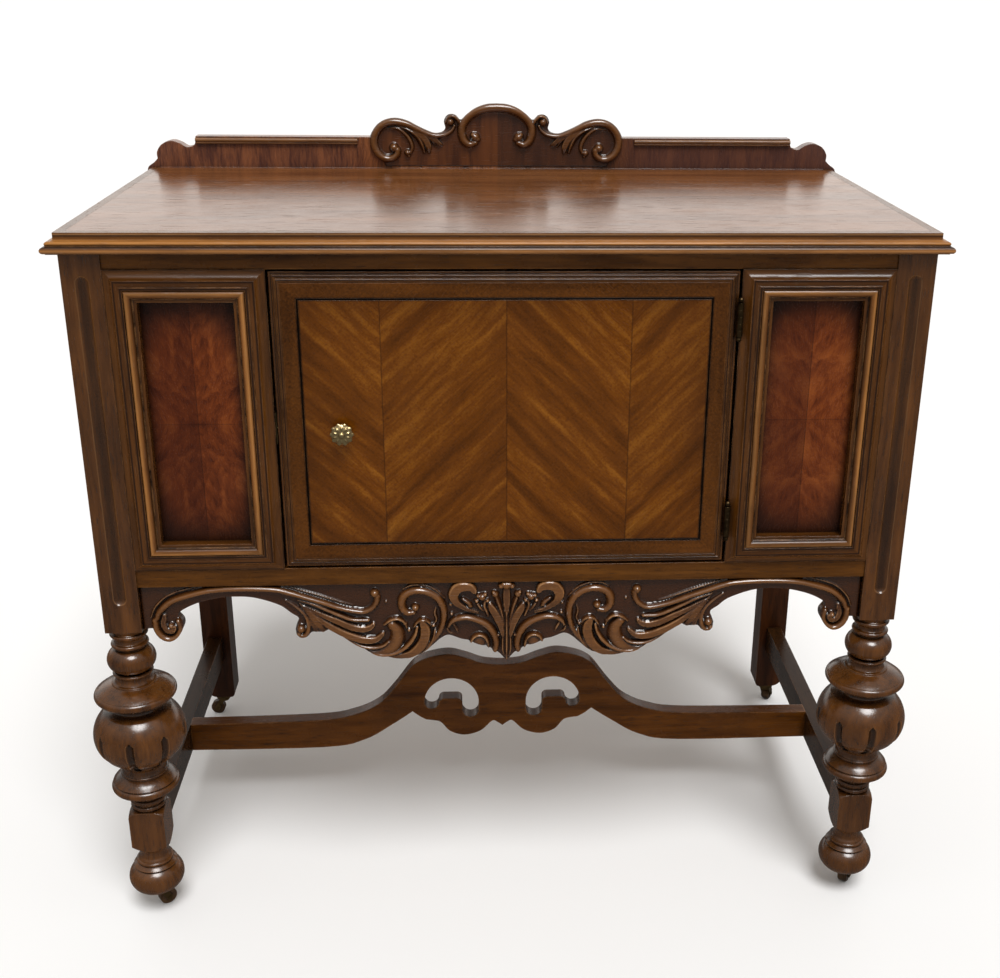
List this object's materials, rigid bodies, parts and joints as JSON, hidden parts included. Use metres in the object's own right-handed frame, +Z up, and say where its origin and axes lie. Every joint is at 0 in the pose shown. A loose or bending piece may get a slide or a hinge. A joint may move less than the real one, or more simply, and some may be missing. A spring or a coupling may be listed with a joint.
{
  "type": "radio phonograph console cabinet",
  "caption": "Console cabinet with a carved back gallery, a hinged centre door between framed panels, turned front legs, a pierced stretcher and casters.",
  "frame": {"origin": "on the floor under the middle of the cabinet's bounding box", "axes": "+X to the cabinet's right as seen from the front, +Y to the back, +Z up"},
  "size_m": [1.11, 0.604, 1.064],
  "materials": {
    "walnut_top": "glossy red-brown lacquer over figured walnut, with fine scratches and dust",
    "walnut_dark": "glossy dark brown lacquer, worn lighter on the high edges",
    "walnut_carved": "dark brown lacquer with pale dust on the raised carving",
    "walnut_side": "satin dark walnut",
    "crotch_veneer": "glossy red-brown matched veneer, dark at the edges",
    "chevron_veneer": "glossy brown striped veneer laid in chevrons",
    "ebony_line": "black inlaid line",
    "plain_wood": "unfinished secondary wood",
    "aged_brass": "aged brass with dark recesses",
    "hinge_brass": "tarnished brass",
    "bolt_steel": "plain steel",
    "caster_iron": "dark worn iron",
    "wheel_wood": "dark turned hardwood, worn"
  },
  "bodies": {
    "cabinet": {"top_panel": "walnut_top", "top_edge_front": "walnut_dark", "top_edge_left": "walnut_dark", "top_edge_right": "walnut_dark", "gallery_board": "walnut_carved", "gallery_beads": "walnut_carved", "gallery_crest": "walnut_carved", "front_leg_left": "walnut_dark", "front_leg_right": "walnut_dark", "rear_leg_left": "walnut_dark", "rear_leg_right": "walnut_dark", "upper_rail": "walnut_dark", "lower_rail": "walnut_dark", "apron_board": "walnut_dark", "apron_carving": "walnut_carved", "side_rails_left": "walnut_side", "side_rails_right": "walnut_side", "side_panel_left": "walnut_side", "side_panel_right": "walnut_side", "back_rails": "plain_wood", "back_panel": "plain_wood", "floor_board": "plain_wood", "shelf": "plain_wood", "shelf_cleats": "plain_wood", "front_stiles": "walnut_dark", "panel_frame_left": "walnut_dark", "panel_frame_right": "walnut_dark", "panel_bead_left": "walnut_dark", "panel_bead_right": "walnut_dark", "veneer_panel_left": "crotch_veneer", "veneer_panel_right": "crotch_veneer", "hinge_case_upper": "hinge_brass", "hinge_case_lower": "hinge_brass", "hinge_pin_upper": "hinge_brass", "hinge_pin_lower": "hinge_brass", "hinge_screws_case": "hinge_brass", "strike_plate": "aged_brass", "side_stretcher_left": "walnut_dark", "side_stretcher_right": "walnut_dark", "centre_stretcher": "walnut_dark", "caster_sockets": "caster_iron"},
    "door": {"door_core": "walnut_dark", "door_moulding": "walnut_dark", "door_field": "chevron_veneer", "door_line": "ebony_line", "hinge_door_upper": "hinge_brass", "hinge_door_lower": "hinge_brass", "hinge_screws_door": "hinge_brass", "knob": "aged_brass", "knob_bolt": "bolt_steel", "catch_barrel": "aged_brass"},
    "catch": {"catch_ball": "bolt_steel"},
    "caster_front_left": {"caster_fork_front_left": "caster_iron"},
    "wheel_front_left": {"caster_wheel_front_left": "wheel_wood"},
    "caster_front_right": {"caster_fork_front_right": "caster_iron"},
    "wheel_front_right": {"caster_wheel_front_right": "wheel_wood"},
    "caster_rear_left": {"caster_fork_rear_left": "caster_iron"},
    "wheel_rear_left": {"caster_wheel_rear_left": "wheel_wood"},
    "caster_rear_right": {"caster_fork_rear_right": "caster_iron"},
    "wheel_rear_right": {"caster_wheel_rear_right": "wheel_wood"}
  },
  "joints": [
    {"name": "door_hinge", "type": "hinge", "parent": "cabinet", "child": "door", "pos_m": [0.2815, -0.2705, 0.73], "axis": [0, 0, 1], "range_deg": [0, 110]},
    {"name": "catch_press", "type": "slide", "parent": "door", "child": "catch", "axis": [1, 0, 0], "range_m": [0, 0.0015], "stiffness_N_per_m": 600, "springref_m": -0.0005},
    {"name": "swivel_front_left", "type": "hinge", "parent": "cabinet", "child": "caster_front_left", "pos_m": [-0.4945, -0.2415, 0.045], "axis": [0, 0, 1], "continuous": true},
    {"name": "roll_front_left", "type": "hinge", "parent": "caster_front_left", "child": "wheel_front_left", "pos_m": [-0.48549, -0.23519, 0.012], "axis": [-0.5736, 0.8192, 0], "continuous": true},
    {"name": "swivel_front_right", "type": "hinge", "parent": "cabinet", "child": "caster_front_right", "pos_m": [0.4945, -0.2415, 0.045], "axis": [0, 0, 1], "continuous": true},
    {"name": "roll_front_right", "type": "hinge", "parent": "caster_front_right", "child": "wheel_front_right", "pos_m": [0.50081, -0.23249, 0.012], "axis": [-0.8192, 0.5736, 0], "continuous": true},
    {"name": "swivel_rear_left", "type": "hinge", "parent": "cabinet", "child": "caster_rear_left", "pos_m": [-0.4905, 0.2765, 0.045], "axis": [0, 0, 1], "continuous": true},
    {"name": "roll_rear_left", "type": "hinge", "parent": "caster_rear_left", "child": "wheel_rear_left", "pos_m": [-0.50146, 0.27746, 0.012], "axis": [-0.0872, -0.9962, 0], "continuous": true},
    {"name": "swivel_rear_right", "type": "hinge", "parent": "cabinet", "child": "caster_rear_right", "pos_m": [0.4905, 0.2765, 0.045], "axis": [0, 0, 1], "continuous": true},
    {"name": "roll_rear_right", "type": "hinge", "parent": "caster_rear_right", "child": "wheel_rear_right", "pos_m": [0.49681, 0.28551, 0.012], "axis": [-0.8192, 0.5736, 0], "continuous": true}
  ]
}
